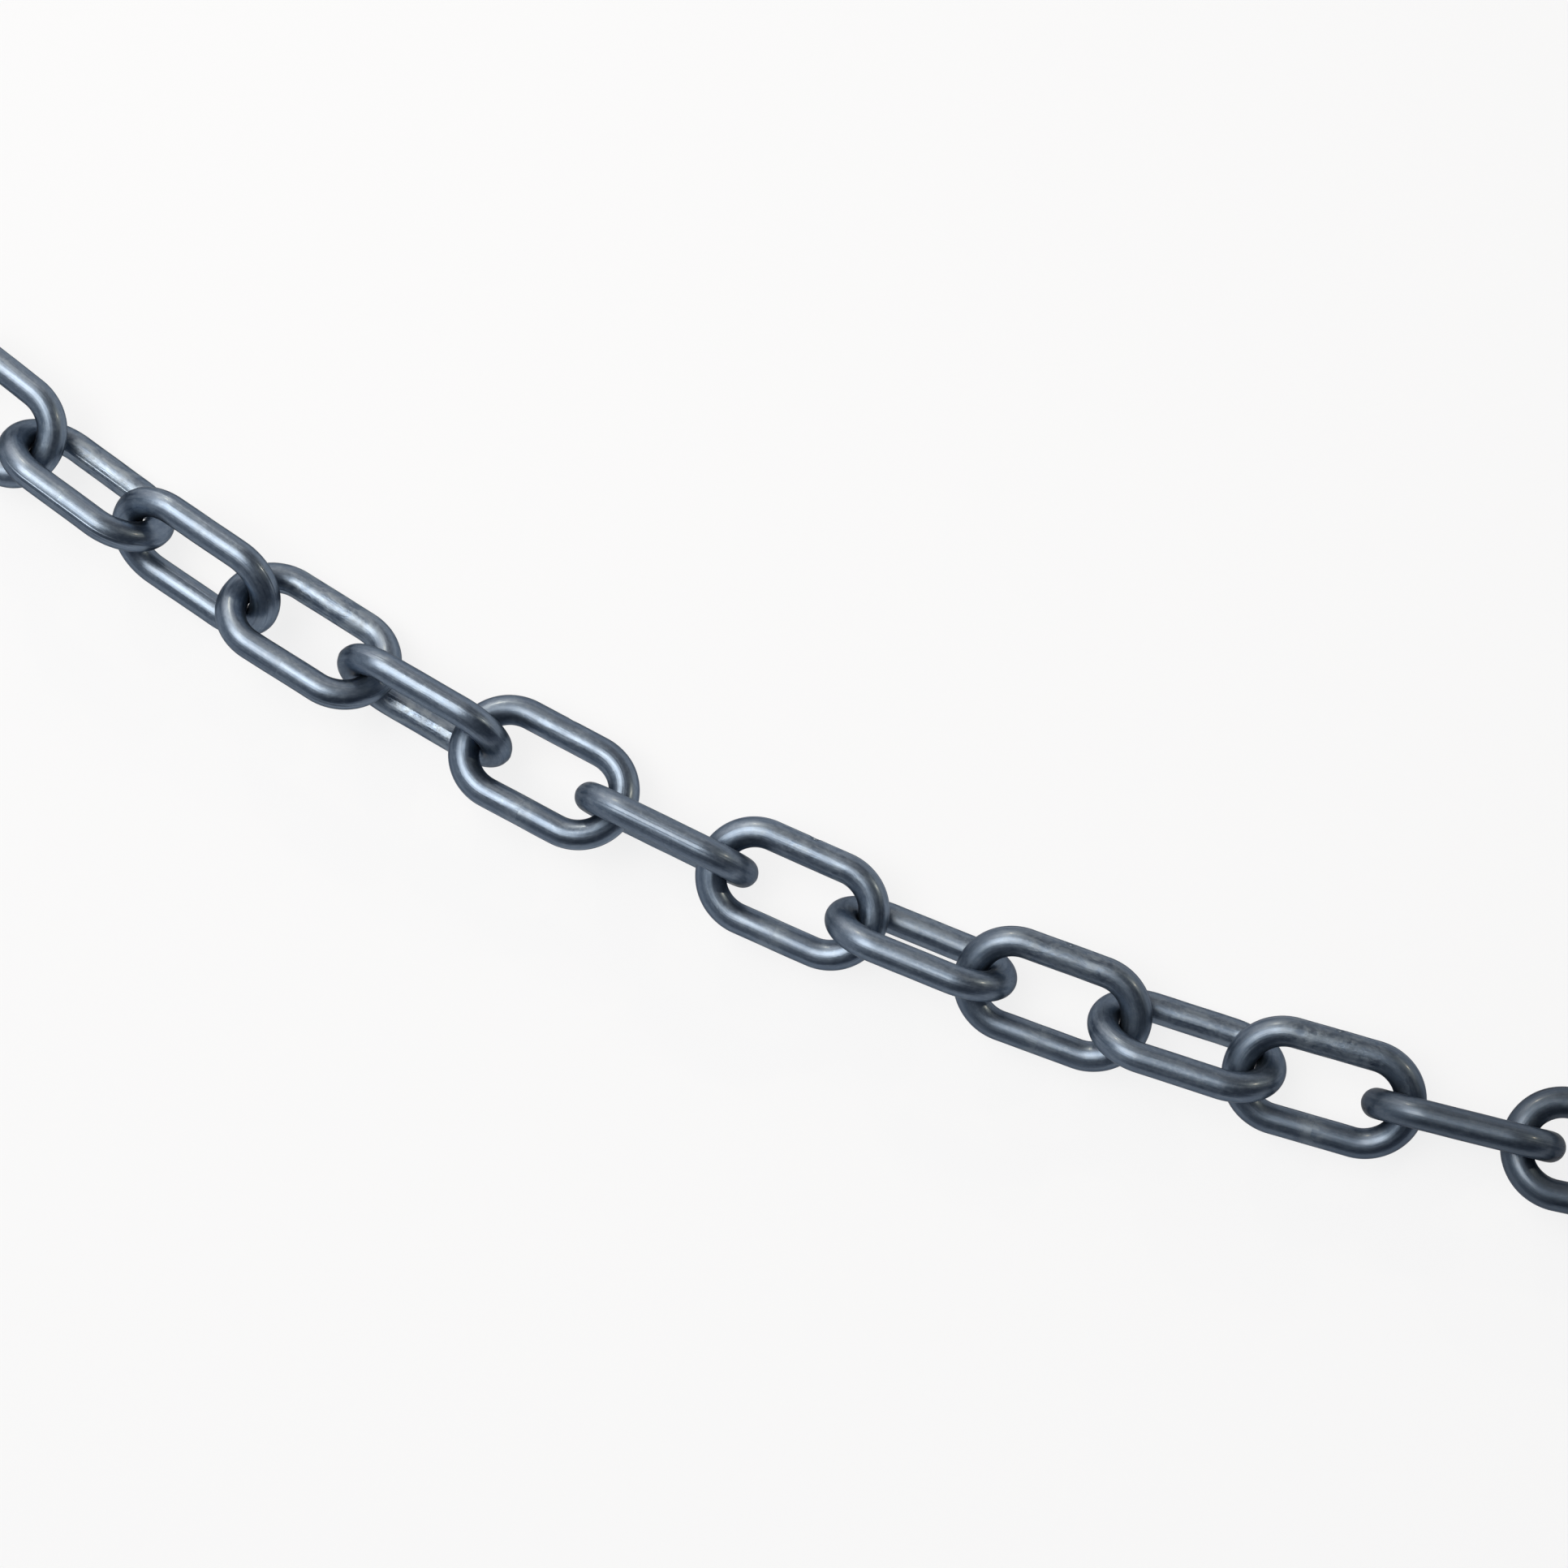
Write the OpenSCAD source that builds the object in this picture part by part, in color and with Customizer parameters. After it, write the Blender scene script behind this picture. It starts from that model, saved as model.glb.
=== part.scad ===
// A length of plastic link chain, as it lies drawn out on a table in one slow bend.
// Every link is one closed ring, moulded round the link before it. X runs along the chain
// from its first link to its last, Z is up, and the chain stands on z = 0.

/* [Link] */
// Diameter of the round bar that makes the ring
bar_d = 8; // [6.5:0.1:8.4]
// Length of a link over its two crowns
link_length = 53; // [49:0.5:64]
// Width of a link over its two side bars
link_width = 32; // [31:0.5:38]

/* [Mould marks] */
// Width of the flat land that the parting line leaves, inside and outside the ring
land_w = 1.2; // [0.6:0.1:1.8]
// Height of that land above the round bar
land_h = 0.08; // [0.04:0.01:0.12]
// Diameter of the dimple round the gate, at the middle of one side bar
gate_d = 2.6; // [2:0.1:3.4]
// Depth of the dimple below the bar's surface
gate_depth = 0.35; // [0.25:0.05:0.6]
// Diameter of the stub where the gate broke off, inside the dimple
stub_d = 1.1; // [0.7:0.1:1.5]
// How far the stub stays below the bar's surface
stub_drop = 0.1; // [0.05:0.05:0.2]
// Width of the weld line round the other side bar, where the two flows of plastic met
weld_w = 0.5; // [0.3:0.05:0.9]
// Depth of the weld line
weld_depth = 0.12; // [0.06:0.02:0.3]

/* [Chain] */
// Number of links
link_count = 20; // [2:1:20]
// Gap between two crowns that bear on each other
play = 0.3; // [0.2:0.05:0.6]
// Angle in plan between a link and the one before it
bend = 2; // [0:0.25:3]

/* [Hidden] */
$fn = 96;
// Lean of each link from its place in a straight chain, in degrees: the chain is twisted slowly
lean = [0, 5, 10, 15, 30, 46, 56, 71, 76, 86, 101, 110, 110, 123, 106, 89, 82, 82, 85, 90];
up = [0, 0, 1];
bar_r = bar_d / 2;
// Radius of a crown, at the middle of its bar
crown_r = (link_width - bar_d) / 2;
// Distance from a link's centre to the middle of the bar at the tip of its crown
reach = (link_length - bar_d) / 2;
// Length of the straight part of a side bar
straight = 2 * (reach - crown_r);
// Height of the land's edge above the middle of the bar, which is where crowns bear
bearing_r = bar_r + land_h;
// Distance between the middles of the two bars where one link hangs in the next
grip = 2 * bearing_r + play;

function link_name(i) = str("link_", i < 10 ? "0" : "", i);

// Neighbouring links stand a quarter turn apart, and the gates all face the same way
function twist(i) = lean[(i - 1) % len(lean)];
function roll(i) = twist(i) - (i % 2 == 0 ? 180 : 90);
function heading(i) = bend * (i - (link_count + 1) / 2);

// Directions of a link: along it, across it in its own plane, and square to that plane
function along(i) = [cos(heading(i)), sin(heading(i)), 0];
function across(i) =
    [-sin(heading(i)) * cos(roll(i)), cos(heading(i)) * cos(roll(i)), sin(roll(i))];
function square_to(i) = cross(along(i), across(i));

// Centre of each link, from the first one on
function centre(i) =
    i == 1 ? [0, 0, 0]
    : centre(i - 1) + (reach - grip / 2) * (along(i - 1) + along(i));

// How far a link reaches from its centre in a direction: its round bar or the land's corner
function spread(i, toward) =
    let (in_plane = norm([along(i) * toward, across(i) * toward]))
    straight / 2 * abs(along(i) * toward)
    + max(
        crown_r * in_plane + bar_r,
        (crown_r + bearing_r) * in_plane + land_w / 2 * abs(square_to(i) * toward)
    );

function lowest(toward) = min([for (i = [1 : link_count]) centre(i) * toward - spread(i, toward)]);
function highest(toward) = max([for (i = [1 : link_count]) centre(i) * toward + spread(i, toward)]);
function middle(toward) = (lowest(toward) + highest(toward)) / 2;

// Moves the chain's middle to x = 0 and y = 0, and its lowest point to z = 0
placing = -[middle([1, 0, 0]), middle([0, 1, 0]), lowest(up)];

// Round bar with the parting line's land on both sides, cut across
module bar_section() {
    circle(d = bar_d);
    square([2 * bearing_r, land_w], center = true);
}

// Straight side bar, centred, along X
module side_bar() {
    rotate([90, 0, 90])
        translate([0, 0, -straight / 2])
            linear_extrude(straight)
                bar_section();
}

// Half ring that joins the two side bars at the +X end
module crown() {
    translate([straight / 2, 0, 0])
        rotate([0, 0, -90])
            rotate_extrude(angle = 180)
                translate([crown_r, 0])
                    bar_section();
}

// Dimple of the gate in the outside of the side bar at +Y, with the broken stub left standing
module gate_cut() {
    translate([0, crown_r + bar_r - gate_depth, 0])
        rotate([-90, 0, 0])
            difference() {
                cylinder(d = gate_d, h = gate_depth + 1);
                translate([0, 0, -1])
                    cylinder(d = stub_d, h = 1 + gate_depth - stub_drop);
            }
}

// Fine V-shaped line round the side bar at -Y
module weld_cut() {
    rim = bearing_r + 0.5;
    rim_half_w = weld_w / 2 * (rim - bar_r + weld_depth) / weld_depth;
    translate([0, -crown_r, 0])
        rotate([0, 90, 0])
            rotate_extrude()
                polygon([
                    [bar_r - weld_depth, 0],
                    [rim, -rim_half_w],
                    [rim, rim_half_w]
                ]);
}

// One link, flat in the XY plane, with its length along X
module ring() {
    difference() {
        union() {
            crown();
            mirror([1, 0, 0]) crown();
            translate([0, crown_r, 0]) side_bar();
            translate([0, -crown_r, 0]) side_bar();
        }
        gate_cut();
        weld_cut();
    }
}

// A link in its place in the chain
module chain_link(i) {
    color([0.41, 0.44, 0.49])
        translate(centre(i) + placing)
            rotate([roll(i), 0, heading(i)])
                ring();
}

for (i = [1 : link_count])
    chain_link(i);
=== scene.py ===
"""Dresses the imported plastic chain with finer, metal-pigmented links and adds a plain pale studio."""

import math

import bpy
import numpy as np
from mathutils import Matrix, Vector


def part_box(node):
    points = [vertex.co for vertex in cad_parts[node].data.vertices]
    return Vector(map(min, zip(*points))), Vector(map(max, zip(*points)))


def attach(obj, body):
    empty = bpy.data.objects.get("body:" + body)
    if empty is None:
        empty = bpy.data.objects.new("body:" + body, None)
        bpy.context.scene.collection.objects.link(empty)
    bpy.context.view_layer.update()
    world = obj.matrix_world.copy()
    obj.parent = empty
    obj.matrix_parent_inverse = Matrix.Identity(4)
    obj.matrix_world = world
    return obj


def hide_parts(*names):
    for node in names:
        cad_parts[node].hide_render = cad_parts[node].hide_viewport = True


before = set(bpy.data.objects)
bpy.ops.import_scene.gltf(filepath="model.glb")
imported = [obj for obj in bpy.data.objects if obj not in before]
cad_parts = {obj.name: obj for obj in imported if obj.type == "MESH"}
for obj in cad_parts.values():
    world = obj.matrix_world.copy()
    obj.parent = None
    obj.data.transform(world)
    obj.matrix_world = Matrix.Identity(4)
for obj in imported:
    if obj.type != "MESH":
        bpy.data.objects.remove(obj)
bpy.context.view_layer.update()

bl_info = {
    "name": "Plastic Link Chain",
    "version": (1, 0, 0),
    "blender": (4, 5, 0),
    "location": "View3D > Sidebar > Chain",
    "description": "Moulded plastic chain links and the studio that shows them",
    "category": "Add Mesh",
}

MM = 0.001
LINK_NAMES = sorted(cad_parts)

# Lean of each link from its place in a straight chain, in degrees, as in the part's source
LEAN = (0, 5, 10, 15, 30, 46, 56, 71, 76, 86, 101, 110, 110, 123, 106, 89, 82, 82, 85, 90)
# How strongly the pigment clouds round the gate of each link, from 0 to 1
CLOUDS = (
    0.5, 0.3, 0.6, 0.4, 0.7, 0.2, 0.9, 0.9, 0.15, 0.3,
    0.4, 0.4, 0.9, 0.5, 1.0, 0.3, 0.5, 0.6, 0.3, 0.5,
)
# How plainly the weld line of each link shows, from 0 to 1
WELDS = (
    0.3, 0.1, 0.4, 0.1, 0.3, 0.1, 0.3, 0.1, 0.8, 0.0,
    0.8, 0.1, 0.7, 0.1, 1.0, 0.1, 0.5, 0.1, 0.4, 0.2,
)
# How much duller the skin of each link is than the glossiest, from 0 to 1
DULLNESS = (
    0.3, 0.3, 0.2, 0.2, 0.0, 0.1, 0.2, 0.1, 0.0, 0.9,
    0.1, 0.4, 0.4, 0.5, 0.5, 0.7, 0.6, 0.5, 0.4, 0.5,
)
# How far each link's pigment is darkened as painted shade, from 0 to 1: more toward the chain's last links,
# standing in for the light falling off there
PAINTED_SHADES = (
    0.0, 0.0, 0.0, 0.0, 0.0, 0.0, 0.0, 0.0, 0.0, 0.0,
    0.0, 0.05, 0.2, 0.15, 0.3, 0.5, 0.62, 0.62, 0.62, 0.62,
)
# How much of the height of the parting line's land is left on each link, from 0 to 1
LANDS = (
    1.0, 1.0, 1.0, 1.0, 1.0, 1.0, 1.0, 1.0, 1.0, 0.5,
    1.0, 0.15, 1.0, 0.15, 1.0, 0.3, 1.0, 0.3, 1.0, 0.3,
)

# Steps of the mesh along half a link: at the gate, on to the crown, round it, back, and at the weld line
STATION_STEPS = (16, 10, 60, 11, 12)
# How far the close steps reach, in gate diameters and in weld widths
GATE_REACH = 0.62
WELD_REACH = 1.6
# Points of the mesh across half the land, down its edge, over the shoulder beside it and round the flank
LAND_POINTS = 4
EDGE_POINTS = 9
SHOULDER_POINTS = 6
FLANK_POINTS = 32
# How far the shoulder's close points reach, in gate diameters
SHOULDER_REACH = 0.56
# Worn edge of the land: how far inside the sharp edge it begins, and how far outside it ends
LAND_TOP_INSET = 0.22 * MM
LAND_FOOT_OUTSET = 0.16 * MM
# Over how much of the outward direction's sideways part the waves of a side bar fade into a crown
CROWN_FADE = 0.2
# Waves in the skin: how often each sine repeats round the link, and round the bar
SLOW_WAVES = ((5, 1), (8, -1))
QUICK_WAVES = ((13, 2), (11, 3))
# Height of a quick wave, as a share of a slow one's
QUICK_SHARE = 0.4
# How much of its depth the weld line keeps: everywhere, and more where it shows plainly
WELD_LEAST = 0.02
WELD_MORE = 0.08
# Where the inside of a crown bears: how far from its tip that ends, and over how long it fades
BEARING_END = 9 * MM
BEARING_FADE = 5 * MM
# The same round the bar, as cosines of the turn from its outside
BEARING_EDGE = 0.1
BEARING_EDGE_FADE = 0.5
# Half of the gap that is left there
BEARING_HAIR = 0.05 * MM
# How softly the gate's edges are worn, and a distance that is out of its reach
GATE_SOFTNESS = 0.14 * MM
FAR = 1.0
# Distance from the gate over which the pattern of one side turns into that of the other
SIDE_BLEND = 12 * MM
# How far the noises of one link lie from those of the next, and of one side from the other
SEED_STEP = 7.3
SIDE_STEP = 1.7
# How far a placed link may differ from its CAD node, as a box
PLACE_TOLERANCE = 0.2 * MM

# Distances from the gate, in millimetres, at which its cloud ends and at which the cloud is full
CLOUD_REACH = (20.0, 7.0)
# Distances from the gate, in millimetres, at which the weld line's blotch begins and at which it is full
BLOTCH_REACH = (53.0, 58.0)
# Distances from the ring's plane, in millimetres, between which the land's edges are worn pale and carry a
# painted highlight of the edges catching the light
RIM_INNER = (0.36, 0.56)
RIM_OUTER = (0.86, 0.60)

# Middle of the view
VIEW_MIDDLE = Vector((4.2, -1.0, 16.0)) * MM
# Round floor: its radius, the radius from which it curves up, how high it rises, and its mesh
FLOOR_RADIUS = 12.0
FLOOR_FLAT = 6.0
FLOOR_RISE = 0.9
FLOOR_RINGS = 25
FLOOR_SPOKES = 96
# White that the floor shows of itself, a little below full white
FLOOR_WHITE = (0.94, 0.94, 0.94)
# Brightness of the upper window and of the two small bulbs, as shares of the large light's
UPPER_SHARE = 0.18
BULB_SHARE = 29
BULB_SIZE = (0.05, 0.05)
BULB_TINT = (1.0, 0.86, 0.62)
# Tone of the sky by how far a ray leans toward its pale side: 0 fully away from it, 1 fully toward it
SKY_TONES = (
    (0.0, (0.035, 0.047, 0.072)),
    (0.5, (0.165, 0.172, 0.185)),
    (0.75, (0.38, 0.35, 0.335)),
    (1.0, (0.46, 0.41, 0.38)),
)
SKY_GLOW = (0.44, 0.48, 0.52)


def length(name, description, default):
    """A length property in metres, shown to a hundredth of a millimetre."""
    return bpy.props.FloatProperty(
        name=name, description=description, default=default, min=0.0, precision=5, unit="LENGTH"
    )


def angle(name, description, degrees):
    """An angle property, given here in degrees."""
    return bpy.props.FloatProperty(
        name=name, description=description, default=math.radians(degrees), unit="ROTATION"
    )


def share(name, description, default):
    """A share from 0 to 1."""
    return bpy.props.FloatProperty(
        name=name, description=description, default=default, min=0.0, max=1.0, subtype="FACTOR"
    )


def level(name, description, default):
    """A brightness: 0 or more."""
    return bpy.props.FloatProperty(
        name=name, description=description, default=default, min=0.0, subtype="UNSIGNED"
    )


def colour(name, description, default):
    """A colour, given as linear red, green and blue."""
    return bpy.props.FloatVectorProperty(
        name=name, description=description, default=default, min=0.0, max=1.0, size=3, subtype="COLOR"
    )


class LinkSizes(bpy.types.PropertyGroup):
    """Sizes of one link, as in the part's source."""

    bar_diameter: length("Bar Diameter", "Thickness of the round bar", 8 * MM)
    link_length: length("Link Length", "Length over the two crowns", 53 * MM)
    link_width: length("Link Width", "Width over the two side bars", 32 * MM)
    land_width: length("Land Width", "Width of the parting line's flat land", 1.2 * MM)
    land_height: length("Land Height", "Height of the land above the bar", 0.08 * MM)
    gate_diameter: length("Gate Diameter", "Diameter of the dimple round the gate", 2.6 * MM)
    gate_depth: length("Gate Depth", "Depth of the dimple", 0.35 * MM)
    stub_diameter: length("Stub Diameter", "Diameter of the broken stub", 1.1 * MM)
    stub_drop: length("Stub Drop", "How far the stub stays below the bar's surface", 0.1 * MM)
    weld_width: length("Weld Width", "Width of the weld line", 0.5 * MM)
    weld_depth: length("Weld Depth", "Depth of the weld line", 0.12 * MM)
    sink_depth: length("Sink Depth", "Depth of the slow waves that cooling leaves", 0.06 * MM)
    play: length("Play", "Gap between two crowns that bear on each other", 0.3 * MM)
    bend: angle("Bend", "Turn in plan from one link to the next", 2)


class PlasticFinish(bpy.types.PropertyGroup):
    """Colours and gloss of the moulded plastic, with a painted shade for the last links and a partly
    painted highlight on the land's edges.
    """

    pigment: colour("Pigment", "Blue-grey of the metallic pigment", (0.147, 0.190, 0.252))
    pale_streak: colour("Pale Streak", "Where the flakes lie flat", (0.180, 0.226, 0.290))
    dark_streak: colour("Dark Streak", "Where the flakes stand on edge", (0.086, 0.118, 0.168))
    cloud: colour("Cloud", "Milky swirl round the gate", (0.245, 0.295, 0.350))
    # Painted shade: the dark tone that the chain's last links are blended toward, standing in for the light
    # falling off there
    painted_shade_tone: colour("Deep Pigment", "Pigment of the darkest links", (0.035, 0.048, 0.068))
    # Land edge: partly the pale worn flakes of the parting line, partly a painted highlight where the
    # land's edges catch the light
    rim: colour("Land Edge", "Worn edges of the parting line's land", (0.30, 0.35, 0.43))
    metallic: share("Metallic", "How metallic the pigment makes the plastic", 1.0)
    roughness: share("Roughness", "Roughness of the satin skin", 0.38)
    edge: share("Edge Shine", "How strongly the rim of a bar reflects", 0.18)
    coat: share("Skin Gloss", "Weight of the clear skin over the pigment", 0.16)
    coat_roughness: share("Skin Roughness", "Roughness of that clear skin", 0.18)


class StudioSetup(bpy.types.PropertyGroup):
    """Camera, floor and light."""

    camera_distance: length("Camera Distance", "From the camera to the middle of the view", 1.0)
    camera_tilt: angle("Camera Tilt", "Lean of the view from straight down, along the chain", 6.3)
    camera_roll: angle("Camera Roll", "Turn of the picture about the view", 24.9)
    focal_length: bpy.props.FloatProperty(
        name="Focal Length", description="Lens of the camera", default=87.8, min=1.0, unit="CAMERA"
    )
    floor_colour: colour("Floor", "Colour of the plain pale floor", (0.80, 0.82, 0.87))
    floor_lift: share("Floor Lift", "How much of the floor's look is its own white", 0.88)
    key_strength: level("Key Strength", "Brightness of the large soft light", 10.9)
    side_strength: level("Side Strength", "Brightness of the low lamp near the chain's bright end", 1.8)
    sky_strength: level("Sky Strength", "Brightness of the light from all round", 1.0)


class Field:
    """One output of a node. Operators on it add Math nodes, so that shader maths reads as maths."""

    def __init__(self, sheet, node, socket):
        self.sheet = sheet
        self.made_by = node
        self.socket = socket

    def out(self, name):
        """Another output of the same node."""
        return Field(self.sheet, self.made_by, self.made_by.outputs[name])

    def _maths(self, operation, *values):
        return self.sheet.node("ShaderNodeMath", {"operation": operation}, values)

    def __add__(self, other):
        return self._maths("ADD", self, other)

    __radd__ = __add__

    def __sub__(self, other):
        return self._maths("SUBTRACT", self, other)

    def __rsub__(self, other):
        return self._maths("SUBTRACT", other, self)

    def __mul__(self, other):
        return self._maths("MULTIPLY", self, other)

    __rmul__ = __mul__

    def __abs__(self):
        return self._maths("ABSOLUTE", self)

    def ease(self, start, end):
        """0 before start, 1 after end, and an even S between them; start may be the larger."""
        settings = {"interpolation_type": "SMOOTHSTEP"}
        sockets = {0: self, 1: start, 2: end, 3: 0.0, 4: 1.0}
        return self.sheet.node("ShaderNodeMapRange", settings, sockets)


class NodeSheet:
    """The node tree of a material or of the world."""

    def __init__(self, owner):
        owner.use_nodes = True
        self.tree = owner.node_tree
        self.tree.nodes.clear()

    def node(self, kind, settings=None, sockets=(), output=0):
        """Adds a node: its settings first, with a ramp's stops, then the values or links of its sockets."""
        made = self.tree.nodes.new(kind)
        for name, value in (settings or {}).items():
            if name == "stops":
                self._set_stops(made.color_ramp.elements, value)
            else:
                setattr(made, name, value)
        given = sockets.items() if isinstance(sockets, dict) else enumerate(sockets)
        for key, value in given:
            if isinstance(value, Field):
                self.tree.links.new(value.socket, made.inputs[key])
            else:
                made.inputs[key].default_value = value
        return Field(self, made, made.outputs[output]) if made.outputs else made

    @staticmethod
    def _set_stops(elements, stops):
        while len(elements) < len(stops):
            elements.new(1.0)
        for element, (position, value) in zip(elements, stops):
            element.position = position
            element.color = (*value, 1.0)

    def blend(self, factor, first, second):
        """Mixes two colours."""
        return self.node(
            "ShaderNodeMix", {"data_type": "RGBA"}, {0: factor, 6: opaque(first), 7: opaque(second)}, 2
        )

    def vector(self, x, y, z):
        return self.node("ShaderNodeCombineXYZ", None, (x, y, z))


def opaque(value):
    """A colour with its fourth number; a link is left as it is."""
    return value if isinstance(value, Field) else (*value, 1.0)


def surface_mesh(name, points, closed_along, closed_round):
    """A mesh from a grid of points, rows along the first axis and columns round the second.

    Each cell of the grid is one quad, and a closed direction joins its last line to its first.
    The UV map holds the share of the way along and round, and runs on to 1 across the joins.
    """
    rows, columns = points.shape[:2]
    i, j = np.meshgrid(
        np.arange(rows if closed_along else rows - 1),
        np.arange(columns if closed_round else columns - 1),
        indexing="ij",
    )
    corners_i = np.stack([i, i + 1, i + 1, i], axis=-1).reshape(-1, 4)
    corners_j = np.stack([j, j, j + 1, j + 1], axis=-1).reshape(-1, 4)
    index = (corners_i % rows) * columns + corners_j % columns
    uv = np.stack([corners_i / i.shape[0], corners_j / i.shape[1]], axis=-1)
    mesh = bpy.data.meshes.new(name)
    mesh.vertices.add(rows * columns)
    mesh.vertices.foreach_set("co", points.astype(np.float32).ravel())
    mesh.loops.add(index.size)
    mesh.loops.foreach_set("vertex_index", index.astype(np.int32).ravel())
    mesh.polygons.add(len(index))
    mesh.polygons.foreach_set("loop_start", np.arange(0, index.size, 4, dtype=np.int32))
    mesh.uv_layers.new(name="UVMap").data.foreach_set("uv", uv.astype(np.float32).ravel())
    mesh.update(calc_edges=True)
    mesh.shade_smooth()
    return mesh


def add_object(name, data):
    """Puts data into the scene as an object at the origin."""
    made = bpy.data.objects.new(name, data)
    bpy.context.scene.collection.objects.link(made)
    return made


def eased(x):
    """0 below 0, 1 above 1, and the smooth S of 3x² − 2x³ between them."""
    x = np.clip(x, 0.0, 1.0)
    return x * x * (3 - 2 * x)


class LinkForm:
    """The shape of one link: X along it, Y across it with the gate at +Y, Z square to its plane."""

    def __init__(self, sizes):
        self.sizes = sizes
        self.bar = sizes.bar_diameter / 2
        self.crown = (sizes.link_width - sizes.bar_diameter) / 2
        self.reach = (sizes.link_length - sizes.bar_diameter) / 2
        self.half_straight = self.reach - self.crown
        self.bearing = self.bar + sizes.land_height
        self.circuit = 4 * self.half_straight + 2 * math.pi * self.crown

    def stations(self):
        """Places along the bar, from the gate once round, close together at the gate and the weld line."""
        flat = self.half_straight
        turn = math.pi * self.crown
        half = self.circuit / 2
        gate = GATE_REACH * self.sizes.gate_diameter
        weld = WELD_REACH * self.sizes.weld_width
        ends = (0, gate, flat, flat + turn, half - weld)
        stretches = [
            np.linspace(start, end, steps, endpoint=False)
            for start, end, steps in zip(ends, ends[1:], STATION_STEPS)
        ]
        stretches.append(half - weld * np.linspace(1, 0, STATION_STEPS[-1], endpoint=False))
        one_half = np.concatenate(stretches)
        return np.sort(np.concatenate([one_half, self.circuit - one_half[:0:-1], [half]]))

    def path(self, s):
        """Middle of the bar, and the outward direction, at the distance s from the gate.

        A centre slides along X over the straight parts, and the outward direction turns half round at each
        crown, so the bar's middle is the centre plus the crown's radius times the outward direction.
        """
        flat, turn, crown = self.half_straight, math.pi * self.crown, self.crown
        phi = math.pi / 2 + np.clip((s - flat) / crown, 0, math.pi)
        phi = phi + np.clip((s - 3 * flat - turn) / crown, 0, math.pi)
        slide = -np.clip(s, 0, flat) + np.clip(s - flat - turn, 0, 2 * flat)
        slide = slide - np.clip(s - 3 * flat - 2 * turn, 0, flat)
        outward = np.stack([np.cos(phi), np.sin(phi), 0 * phi], axis=-1)
        middle = self.crown * outward
        middle[:, 0] += slide
        return middle, outward

    def section(self, land_left):
        """The bar cut across: pairs of (outward, square) distances from its middle, once round.

        It is a circle with a raised land outside and inside, which has the share land_left of its height.
        The land's edges are worn round: its height over the circle eases to nothing between the edge's top
        and its foot.
        """
        half_land = self.sizes.land_width / 2
        gate = SHOULDER_REACH * self.sizes.gate_diameter
        top, foot = half_land - LAND_TOP_INSET, half_land + LAND_FOOT_OUTSET
        across, down = np.linspace(0, top, LAND_POINTS)[:-1], np.linspace(top, foot, EDGE_POINTS)
        square = np.concatenate([across, down])
        height = land_left * self.sizes.land_height * eased((foot - square) / (foot - top))
        land = np.stack([np.sqrt(self.bar**2 - square**2) + height, square], axis=-1)
        shoulder_z = np.linspace(foot, gate, SHOULDER_POINTS)[1:]
        shoulder = np.stack([np.sqrt(self.bar**2 - shoulder_z**2), shoulder_z], axis=-1)
        start, end = math.asin(gate / self.bar), math.pi - math.asin(foot / self.bar)
        turn = np.linspace(start, end, FLANK_POINTS)[1:-1]
        flank = self.bar * np.stack([np.cos(turn), np.sin(turn)], axis=-1)
        half = np.concatenate([land, shoulder, flank, land[::-1] * (-1, 1)])
        other = half[-2:0:-1] * (1, -1)
        return np.concatenate([half, other])

    def surface(self, seed, weld, land_left):
        """All points of the link, and how far each is along the bar from the gate.

        Each point is the bar's middle plus the section's two distances, outward and along Z.
        Waves push the section in on the side bars, by a sum of sines of the way round the link and round
        the bar. The gate lowers the outside to the dimple's floor or the stub's top. The weld line narrows
        the bar, more in some places round it than in others. Inside the crowns' tips the section is filled
        out to a hair from the bar of the link that bears there.
        """
        sizes = self.sizes
        s = self.stations()
        middle, outward = self.path(s)
        out, square = self.section(land_left).T
        turn = np.arctan2(square, out)
        radius = np.hypot(square, out)
        phases = np.random.default_rng(seed).uniform(0, 2 * math.pi, 4)
        lap = 2 * math.pi * s[:, None] / self.circuit
        slow, quick = (
            sum(np.sin(laps * lap + turns * turn + phase) for (laps, turns), phase in zip(waves, given))
            for waves, given in ((SLOW_WAVES, phases[:2]), (QUICK_WAVES, phases[2:]))
        )
        wave = (slow + QUICK_SHARE * quick) / (2 + 2 * QUICK_SHARE)
        straight = eased((np.abs(outward[:, 1]) - (1 - CROWN_FADE)) / CROWN_FADE)[:, None]
        weld_gap = np.abs(s - self.circuit / 2)[:, None]
        healed = WELD_LEAST + WELD_MORE * weld * eased(0.5 + 0.5 * np.sin(2 * turn + phases[3]))
        groove = sizes.weld_depth * healed * eased(1 - weld_gap / (sizes.weld_width / 2))
        radius = radius - sizes.sink_depth * straight * (0.5 + 0.5 * wave) - groove
        tip_gap = np.abs(s % (self.circuit / 2) - self.circuit / 4)[:, None]
        bearing = eased((BEARING_END - tip_gap) / BEARING_FADE)
        bearing = bearing * eased((BEARING_EDGE - np.cos(turn)) / BEARING_EDGE_FADE)
        radius = radius + bearing * (self.bearing + sizes.play / 2 - BEARING_HAIR - radius)
        out = radius * np.cos(turn)
        square = radius * np.sin(turn)
        gate_gap = np.minimum(s, self.circuit - s)[:, None]
        from_gate = np.where(out > 0, np.hypot(gate_gap, square), FAR)
        dimple = eased((sizes.gate_diameter / 2 - from_gate) / GATE_SOFTNESS + 0.5)
        stub = eased((sizes.stub_diameter / 2 - from_gate) / GATE_SOFTNESS + 0.5)
        floor = self.bar - sizes.gate_depth + stub * (sizes.gate_depth - sizes.stub_drop)
        out = out + dimple * np.minimum(floor - out, 0)
        upright = np.array([0, 0, 1.0])
        points = middle[:, None] + out[..., None] * outward[:, None] + square[..., None] * upright
        return points, s, out, square


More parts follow.
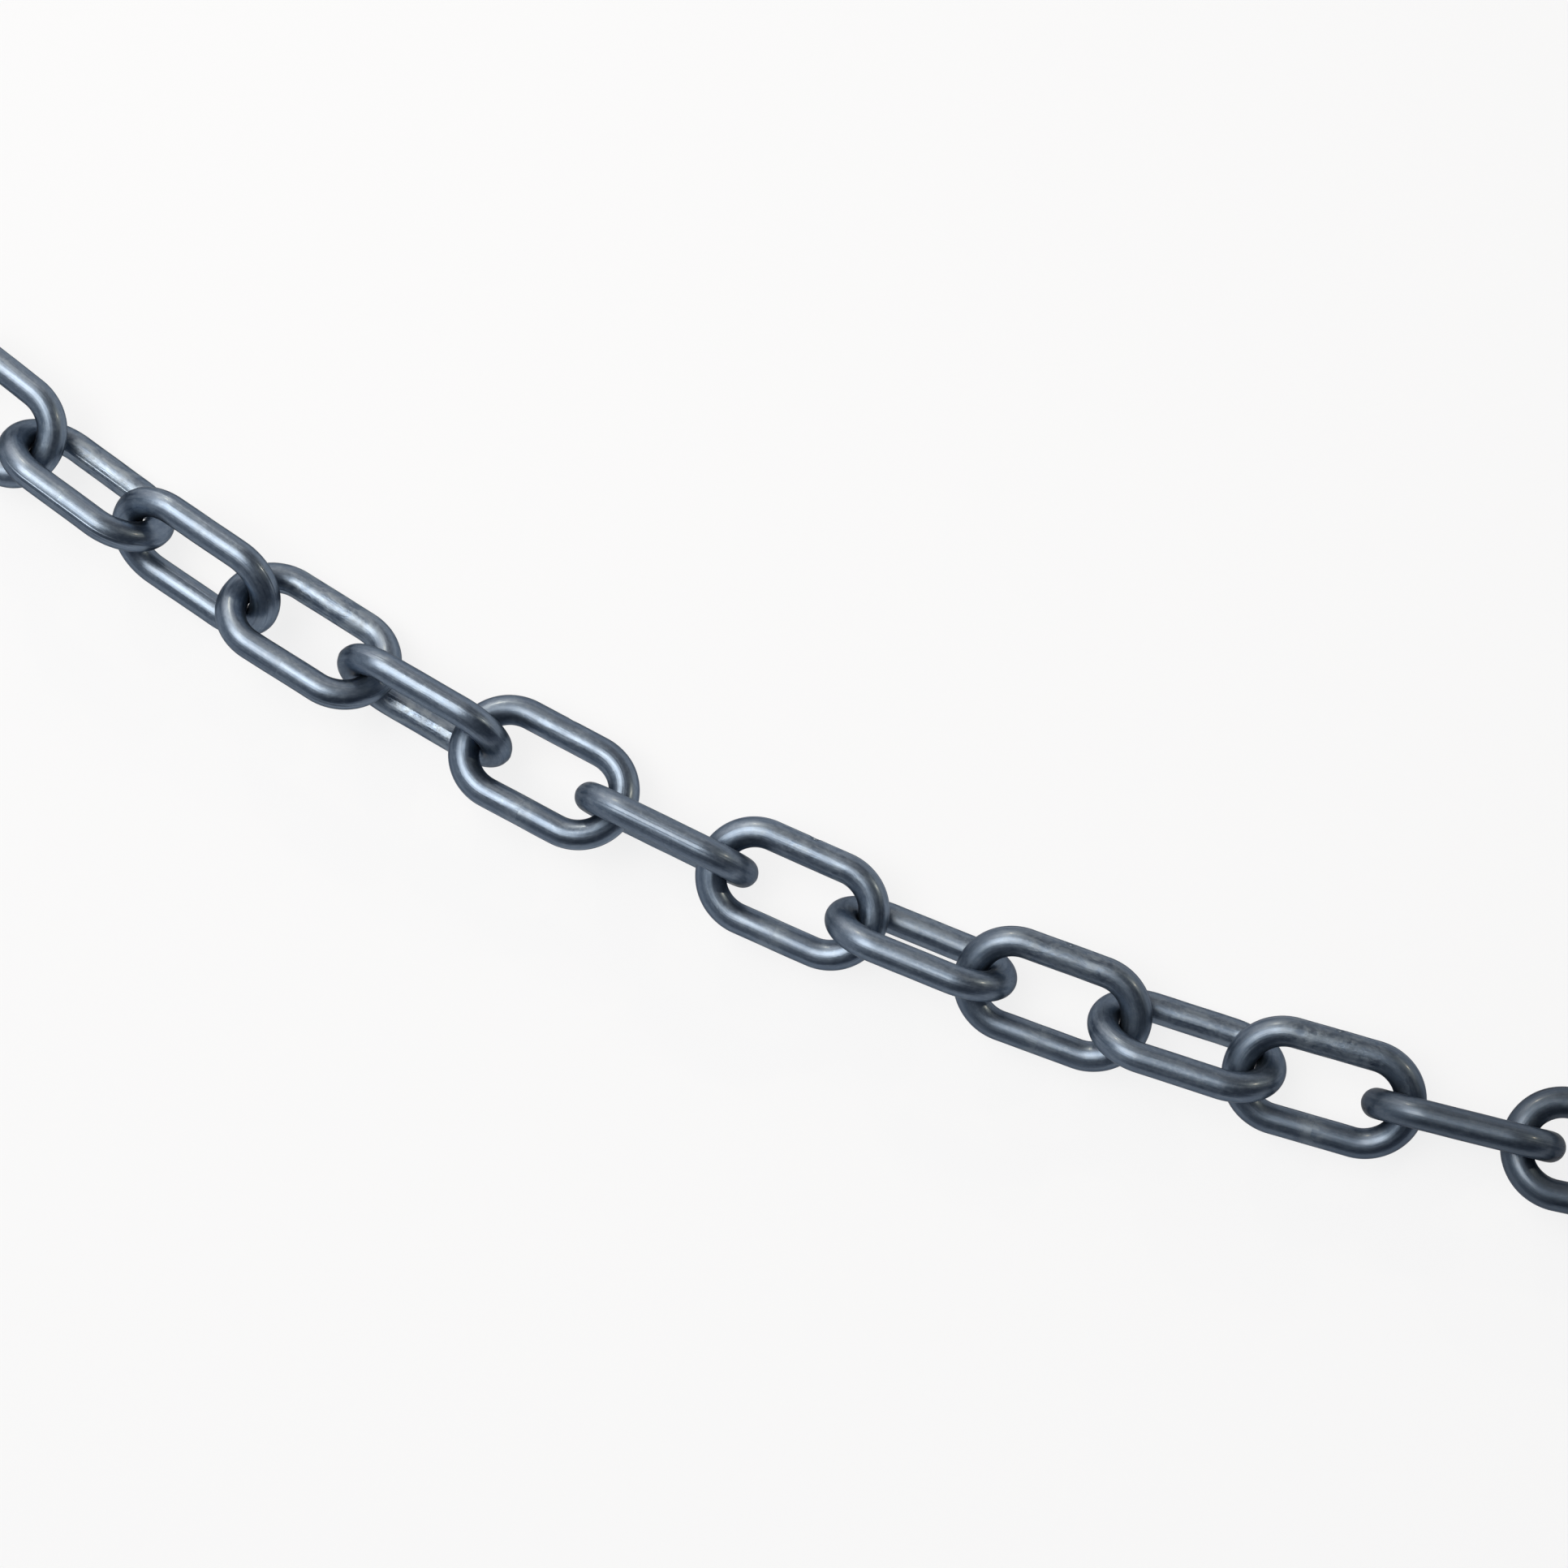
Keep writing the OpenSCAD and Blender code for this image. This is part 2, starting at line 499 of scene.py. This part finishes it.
class ChainLayout:
    """Where each link lies: the same rule as in the part's source, from the first link on."""

    def __init__(self, form, count):
        sizes = form.sizes
        number = np.arange(1, count + 1)
        heading = sizes.bend * (number - (count + 1) / 2)
        roll = np.radians(np.array(LEAN)[(number - 1) % len(LEAN)] - np.where(number % 2, 90, 180))
        along = np.stack([np.cos(heading), np.sin(heading), 0 * heading], axis=-1)
        sideways = np.stack([-np.sin(heading), np.cos(heading), 0 * heading], axis=-1)
        across = np.cos(roll)[:, None] * sideways + np.sin(roll)[:, None] * np.array([0, 0, 1.0])
        grip = 2 * form.bearing + sizes.play
        steps = (form.reach - grip / 2) * (along[:-1] + along[1:])
        centres = np.concatenate([np.zeros((1, 3)), np.cumsum(steps, axis=0)])
        self.axes = np.stack([along, across, np.cross(along, across)], axis=1)
        lows, highs = zip(*(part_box(name) for name in LINK_NAMES))
        box_middles = (np.array(lows) + np.array(highs)) / 2
        self.centres = centres + (box_middles - centres).mean(axis=0)

    def place(self, index, points):
        """Turns points of a link into its place, and makes sure that they fill the CAD node's box."""
        placed = points @ self.axes[index] + self.centres[index]
        low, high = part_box(LINK_NAMES[index])
        off = np.abs([placed.min(axis=(0, 1)) - low, placed.max(axis=(0, 1)) - high]).max()
        if off > PLACE_TOLERANCE:
            raise ValueError(f"{LINK_NAMES[index]} is {off / MM:.2f} mm off its CAD node")
        return placed


def moulded_plastic(finish):
    """The links' material.

    It reads three attributes. The first, flow, is the distance from the gate along the bar and the place on
    the bar's section, all in millimetres. The second, cast, is the side of the link, its seed and its
    cloudiness. The third, skin, is how plainly the weld line shows, the dullness, and how far painted shade
    darkens the pigment.
    """
    material = bpy.data.materials.new("moulded_plastic")
    sheet = NodeSheet(material)

    def parts(attribute):
        """The three numbers of a named attribute."""
        vector = sheet.node("ShaderNodeAttribute", {"attribute_name": attribute}, output="Vector")
        first = sheet.node("ShaderNodeSeparateXYZ", None, [vector])
        return first, first.out("Y"), first.out("Z")

    run, out, square = parts("flow")
    side, seed, cloudiness = parts("cast")
    marked, worn, painted_shade = parts("skin")
    batch = seed + side * marked * SIDE_STEP

    def noise(stretch, detail, strength=0.5, distortion=0.0):
        """Noise over the skin. Its stretch is per millimetre: along the bar, outward and square to it."""
        where = sheet.vector(run * stretch[0], out * stretch[1], square * stretch[2])
        sockets = {
            "Vector": where,
            "W": batch,
            "Scale": 1.0,
            "Detail": detail,
            "Roughness": strength,
            "Distortion": distortion,
        }
        return sheet.node("ShaderNodeTexNoise", {"noise_dimensions": "4D"}, sockets)

    streaks = noise((0.04, 0.9, 0.9), detail=3.0)
    lines = noise((0.03, 2.0, 2.0), detail=1.0)
    mottle = noise((0.16, 0.22, 0.22), detail=2.0)
    swirl = noise((0.15, 0.28, 0.28), detail=4.0, strength=0.62, distortion=1.6)
    ripple = noise((0.8, 1.2, 1.2), detail=2.0, strength=0.60, distortion=0.2)
    flakes = noise((2.2, 3.6, 3.6), detail=1.0)

    dull = run.ease(*CLOUD_REACH) * cloudiness
    cloud = swirl.ease(0.40, 0.64) * dull
    weld = run.ease(*BLOTCH_REACH) * marked
    # Where the land's edges are painted pale: partly worn flakes, partly a painted highlight
    rim = abs(square).ease(*RIM_INNER) * abs(square).ease(*RIM_OUTER)

    streaked = sheet.blend(streaks.ease(0.3, 0.7), finish.dark_streak, finish.pale_streak)
    pigment = sheet.blend(0.5, finish.pigment, streaked)
    # What lies over the pigment, from the lowest to the topmost: how far it covers, and its colour
    layers = (
        (lines.ease(0.56, 0.70) * 0.6, finish.dark_streak),
        (flakes.ease(0.5, 0.8) * 0.5, finish.pale_streak),
        (ripple.ease(0.50, 0.34) * (0.35 + dull * 0.1), finish.dark_streak),
        (ripple.ease(0.52, 0.68) * (0.3 + dull * 0.3), finish.cloud),
        (cloud * 0.9, finish.cloud),
        (swirl.ease(0.48, 0.32) * dull * 0.8, finish.dark_streak),
        (mottle.ease(0.4, 0.6) * marked * 0.5, finish.dark_streak),
        (weld * swirl.ease(0.4, 0.6) * 0.7, finish.cloud),
        # pale land edges: partly worn flakes, partly painted highlight
        (rim * marked * 0.6, finish.rim),
        # painted shade over the chain's last links, where the light falls off
        (painted_shade, finish.painted_shade_tone),
    )
    for cover, tone in layers:
        pigment = sheet.blend(cover, pigment, tone)

    rough = finish.roughness + worn * 0.11 + (streaks - 0.5) * 0.28 + (mottle - 0.5) * 0.20
    rough = rough + (ripple - 0.5) * (0.15 + dull * 0.4) + cloud * 0.14 + weld * 0.10
    rough = rough + (flakes - 0.5) * 0.12

    height = streaks * 1.2 + lines * 0.6 + swirl * (0.2 + dull * 2.4)
    height = height + ripple * (0.05 + dull * 0.25) + flakes * 0.10
    bump = sheet.node("ShaderNodeBump", None, {"Strength": 0.6, "Distance": 0.1 * MM, "Height": height})

    skin = sheet.node("ShaderNodeBsdfPrincipled", None, {
        "Base Color": pigment,
        "Metallic": finish.metallic,
        "Roughness": rough,
        "Specular Tint": opaque((finish.edge,) * 3),
        "Coat Weight": finish.coat,
        "Coat Roughness": finish.coat_roughness,
        "Coat IOR": 1.8,
        "Normal": bump,
    })
    sheet.node("ShaderNodeOutputMaterial", None, [skin])
    return material


def floor_material(studio):
    """Matt pale floor.

    What looks straight at it, or at its reflection, sees mostly its own white. The rest is lit and shaded,
    so the chain's shadow stays.
    """
    material = bpy.data.materials.new("pale_floor")
    sheet = NodeSheet(material)
    ray = sheet.node("ShaderNodeLightPath")
    seen = ray.out("Is Camera Ray") + ray.out("Is Glossy Ray") + ray.out("Is Transmission Ray")
    matt = sheet.node("ShaderNodeBsdfDiffuse", None, {"Color": opaque(studio.floor_colour)})
    white = sheet.node("ShaderNodeEmission", None, {"Color": opaque(FLOOR_WHITE), "Strength": 1.0})
    both = sheet.node("ShaderNodeMixShader", None, [seen * studio.floor_lift, matt, white])
    sheet.node("ShaderNodeOutputMaterial", None, [both])
    return material


class View:
    """The view's directions, from the tilt and roll at which the chain was seen."""

    def __init__(self, studio):
        tilt, roll = studio.camera_tilt, studio.camera_roll
        self.back = Vector((math.sin(tilt), 0.0, math.cos(tilt)))
        along = Vector((math.cos(tilt), 0.0, -math.sin(tilt)))
        across = Vector((0.0, 1.0, 0.0))
        self.right = along * math.cos(roll) + across * math.sin(roll)
        self.up = across * math.cos(roll) - along * math.sin(roll)

    def toward(self, off_axis, turn):
        """The direction at the angle off_axis from the view's, turned from its right toward its top."""
        off_axis, turn = math.radians(off_axis), math.radians(turn)
        sideways = self.right * math.cos(turn) + self.up * math.sin(turn)
        return sideways * math.sin(off_axis) + self.back * math.cos(off_axis)

    def facing(self, direction):
        """Rotation of a lamp or camera that looks against direction, with the view's right as its X."""
        x = (self.right - direction * self.right.dot(direction)).normalized()
        return Matrix((x, direction.cross(x), direction)).transposed().to_4x4()


def add_lamp(view, name, off_axis, turn, distance, size, radiance, tint, spread=180, aim=0.0):
    """A rectangular soft lamp, with its brightness given as radiance.

    It faces the place that lies the distance aim along the chain from the middle of the view. A spread
    under 180 degrees is that of a lamp behind a grid, whose light fades to nothing at half that angle.
    """
    data = bpy.data.lights.new(name, "AREA")
    data.shape = "RECTANGLE"
    data.size, data.size_y = size
    data.color = tint
    data.energy = radiance * math.pi * size[0] * size[1]
    if spread < 180:
        half = math.radians(spread / 2)
        data.spread = 2 * half
        data.energy *= 1 - half / math.tan(half)
    lamp = add_object(name, data)
    spot = VIEW_MIDDLE + Vector((aim, 0.0, 0.0))
    direction = view.toward(off_axis, turn)
    lamp.matrix_world = Matrix.Translation(spot + direction * distance) @ view.facing(direction)
    lamp.visible_camera = False


def studio_sky(view, strength):
    """Light from all round: pale toward the view's upper left, cool on its left, dim at its lower right."""
    world = bpy.data.worlds.new("studio_sky")
    bpy.context.scene.world = world
    sheet = NodeSheet(world)
    where = sheet.node("ShaderNodeTexCoord")

    def lean(direction):
        """How far a ray leans toward a direction: 1 along it, -1 against it."""
        settings = {"operation": "DOT_PRODUCT"}
        return sheet.node("ShaderNodeVectorMath", settings, [where, direction], "Value")

    pale = lean((view.up * 0.84 - view.right * 0.54).normalized())
    tone = sheet.node("ShaderNodeValToRGB", {"stops": SKY_TONES}, [pale * 0.5 + 0.5])
    tone = sheet.blend(lean(-view.right).ease(0.3, 1.0), tone, SKY_GLOW)
    light = sheet.node("ShaderNodeBackground", None, {"Color": tone, "Strength": strength})
    sheet.node("ShaderNodeOutputWorld", None, [light])


class CHAIN_OT_add_stage(bpy.types.Operator):
    """Adds the pale floor, the soft lamps, the sky and the camera"""

    bl_idname = "chain.add_stage"
    bl_label = "Add Stage"

    def execute(self, context):
        studio = context.scene.chain_studio
        view = View(studio)

        # A round floor whose far edge curves up, so that it fills the view from low down too
        ring = np.linspace(0, FLOOR_RADIUS, FLOOR_RINGS)[:, None]
        turn = np.arange(FLOOR_SPOKES)[None] * 2 * math.pi / FLOOR_SPOKES
        rise = FLOOR_RISE * eased(ring / FLOOR_FLAT - 1) + 0 * turn
        disc = np.stack([ring * np.cos(turn), ring * np.sin(turn), rise], axis=-1)
        floor = add_object("floor", surface_mesh("floor", disc, False, True))
        floor.data.materials.append(floor_material(studio))

        key = studio.key_strength
        add_lamp(
            view, "window", off_axis=24.5, turn=150, distance=1.5, size=(1.35, 1.45),
            radiance=key, tint=(1.0, 0.95, 0.87), spread=58, aim=-0.20,
        )
        add_lamp(
            view, "upper_window", off_axis=50, turn=118, distance=0.8, size=(0.46, 0.42),
            radiance=UPPER_SHARE * key, tint=(1.0, 0.90, 0.79), spread=80, aim=-0.12,
        )
        add_lamp(
            view, "side_window", off_axis=69, turn=106, distance=0.55, size=(0.8, 0.36),
            radiance=studio.side_strength, tint=(1.0, 0.89, 0.80), spread=100, aim=-0.2,
        )
        for name, off_axis, turned in (("right_bulb", 62, 20), ("upper_bulb", 66, 102)):
            add_lamp(
                view, name, off_axis, turned, distance=1.5, size=BULB_SIZE,
                radiance=BULB_SHARE * key, tint=BULB_TINT,
            )
        studio_sky(view, studio.sky_strength)

        data = bpy.data.cameras.new("camera")
        data.lens = studio.focal_length
        data.sensor_width = 36.0
        data.clip_start, data.clip_end = 0.01, 100.0
        camera = add_object("camera", data)
        spot = VIEW_MIDDLE + view.back * studio.camera_distance
        camera.matrix_world = Matrix.Translation(spot) @ view.facing(view.back)
        context.scene.camera = camera
        context.scene.view_settings.view_transform = "Standard"
        return {"FINISHED"}


class CHAIN_OT_add_links(bpy.types.Operator):
    """Adds the twenty moulded links, each in the place of its CAD node"""

    bl_idname = "chain.add_links"
    bl_label = "Add Links"

    def execute(self, context):
        form = LinkForm(context.scene.chain_link)
        layout = ChainLayout(form, len(LINK_NAMES))
        material = moulded_plastic(context.scene.chain_finish)
        for index, node in enumerate(LINK_NAMES):
            points, s, out, square = form.surface(index + 1, WELDS[index], LANDS[index])
            name = node.replace("link", "ring")
            mesh = surface_mesh(name, layout.place(index, points), True, True)
            run = np.minimum(s, form.circuit - s)[:, None] + 0 * out
            way = np.where(s <= form.circuit / 2, s, s - form.circuit)[:, None] + 0 * out
            side = np.clip(way / SIDE_BLEND, -1, 1)
            flow = np.stack([run / MM, out / MM, square / MM], axis=-1)
            cast = np.stack([side, 0 * side + SEED_STEP * index, 0 * side + CLOUDS[index]], axis=-1)
            # The third number of skin is the link's painted shade, which darkens the chain's last links
            skin = np.zeros_like(flow) + (WELDS[index], DULLNESS[index], PAINTED_SHADES[index])
            for title, values in (("flow", flow), ("cast", cast), ("skin", skin)):
                attribute = mesh.attributes.new(title, "FLOAT_VECTOR", "POINT")
                attribute.data.foreach_set("vector", values.astype(np.float32).ravel())
            mesh.materials.append(material)
            ring = add_object(name, mesh)
            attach(ring, node)
            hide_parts(node)
        return {"FINISHED"}


class CHAIN_PT_panel(bpy.types.Panel):
    """Lists the chain's sizes, its finish and the studio"""

    bl_label = "Plastic Chain"
    bl_space_type = "VIEW_3D"
    bl_region_type = "UI"
    bl_category = "Chain"

    def draw(self, context):
        scene = context.scene
        groups = {"Link": scene.chain_link, "Finish": scene.chain_finish, "Studio": scene.chain_studio}
        for title, group in groups.items():
            box = self.layout.box()
            box.label(text=title)
            for name in group.__annotations__:
                box.prop(group, name)
        for operator in (CHAIN_OT_add_stage, CHAIN_OT_add_links):
            self.layout.operator(operator.bl_idname)


CLASSES = (LinkSizes, PlasticFinish, StudioSetup, CHAIN_OT_add_stage, CHAIN_OT_add_links, CHAIN_PT_panel)


def register():
    for cls in CLASSES:
        bpy.utils.register_class(cls)
    bpy.types.Scene.chain_link = bpy.props.PointerProperty(type=LinkSizes)
    bpy.types.Scene.chain_finish = bpy.props.PointerProperty(type=PlasticFinish)
    bpy.types.Scene.chain_studio = bpy.props.PointerProperty(type=StudioSetup)


def unregister():
    del bpy.types.Scene.chain_studio
    del bpy.types.Scene.chain_finish
    del bpy.types.Scene.chain_link
    for cls in reversed(CLASSES):
        bpy.utils.unregister_class(cls)


def main():
    register()
    bpy.ops.chain.add_stage()
    bpy.ops.chain.add_links()


if __name__ == "__main__":
    main()
